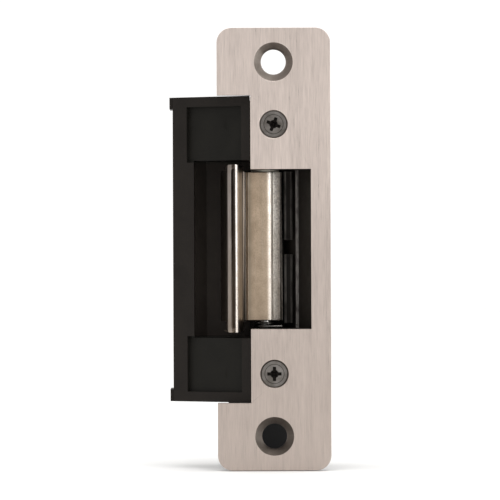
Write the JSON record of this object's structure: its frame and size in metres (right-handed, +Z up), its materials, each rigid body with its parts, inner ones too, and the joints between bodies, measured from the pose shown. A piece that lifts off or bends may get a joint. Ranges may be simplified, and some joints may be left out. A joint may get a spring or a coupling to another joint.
{
  "type": "electric door strike",
  "caption": "Electric door strike with a notched stainless faceplate, a black housing and lip shroud, and a sprung keeper that a solenoid locks.",
  "frame": {"origin": "centre of the faceplate's back face, midway between its two mounting holes", "axes": "+Z up the faceplate's length, +Y into the door jamb, +X away from the lip shroud"},
  "size_m": [0.0453, 0.0427, 0.1238],
  "materials": {
    "stainless": "satin, brushed along its height",
    "screw_steel": "dull zinc",
    "zinc_steel": "zinc plated",
    "black_casting": "black powder coat, satin",
    "nickel_casting": "nickel plate over a casting, worn",
    "pin_steel": "ground steel",
    "spring_steel": "drawn wire",
    "clip_steel": "black oxide",
    "nylon": "moulded nylon",
    "copper_wire": "enamelled copper",
    "board_green": "solder mask",
    "black_plastic": "moulded",
    "varistor_blue": "dipped epoxy",
    "capacitor_sleeve": "shrink sleeve",
    "lead_red": "wire insulation",
    "lead_black": "wire insulation",
    "contact_gold": "plated contact",
    "cover_steel": "black coated sheet"
  },
  "bodies": {
    "strike_body": {"faceplate": "stainless", "faceplate_screws": "screw_steel", "housing": "black_casting", "lip_shroud": "black_casting", "shroud_screws": "zinc_steel", "keeper_pin": "pin_steel", "keeper_pin_clip": "clip_steel", "keeper_washer": "nylon", "lever_pin": "pin_steel", "solenoid_frame": "zinc_steel", "frame_screws": "zinc_steel", "bobbin": "nylon", "coil_winding": "copper_wire", "pole_piece": "pin_steel", "coil_leads": "lead_red", "circuit_board": "board_green", "rectifier": "black_plastic", "varistor": "varistor_blue", "capacitor": "capacitor_sleeve", "board_screws": "zinc_steel", "connector_housing": "black_plastic", "connector_contacts": "contact_gold", "connector_screws": "zinc_steel", "connector_leads": "lead_black", "rear_cover": "cover_steel", "cover_screws": "zinc_steel", "plunger_spring": "spring_steel"},
    "keeper_body": {"keeper": "nickel_casting", "keeper_spring": "spring_steel"},
    "lever_body": {"lock_lever": "zinc_steel"},
    "plunger_body": {"plunger": "pin_steel", "plunger_clip": "clip_steel", "link_pin": "pin_steel"}
  },
  "joints": [
    {"name": "keeper_swing", "type": "hinge", "parent": "strike_body", "child": "keeper_body", "pos_m": [-0.0023, 0.015, 0], "axis": [0, 0, -1], "range_deg": [0, 48], "stiffness_Nm_per_rad": 0.03, "springref_deg": -34.38},
    {"name": "plunger_pull", "type": "slide", "parent": "strike_body", "child": "plunger_body", "axis": [0, 0, -1], "range_m": [0, 0.0025], "stiffness_N_per_m": 200, "springref_m": -0.004, "deforming": ["plunger_spring"]},
    {"name": "lever_turn", "type": "hinge", "parent": "strike_body", "child": "lever_body", "pos_m": [-0.0012, 0.0342, 0.001], "axis": [1, 0, 0], "range_deg": [0, 23.12]}
  ],
  "couplings": [
    {"joint": "lever_turn", "follows": "plunger_pull", "rad_per_m": 161.29}
  ]
}
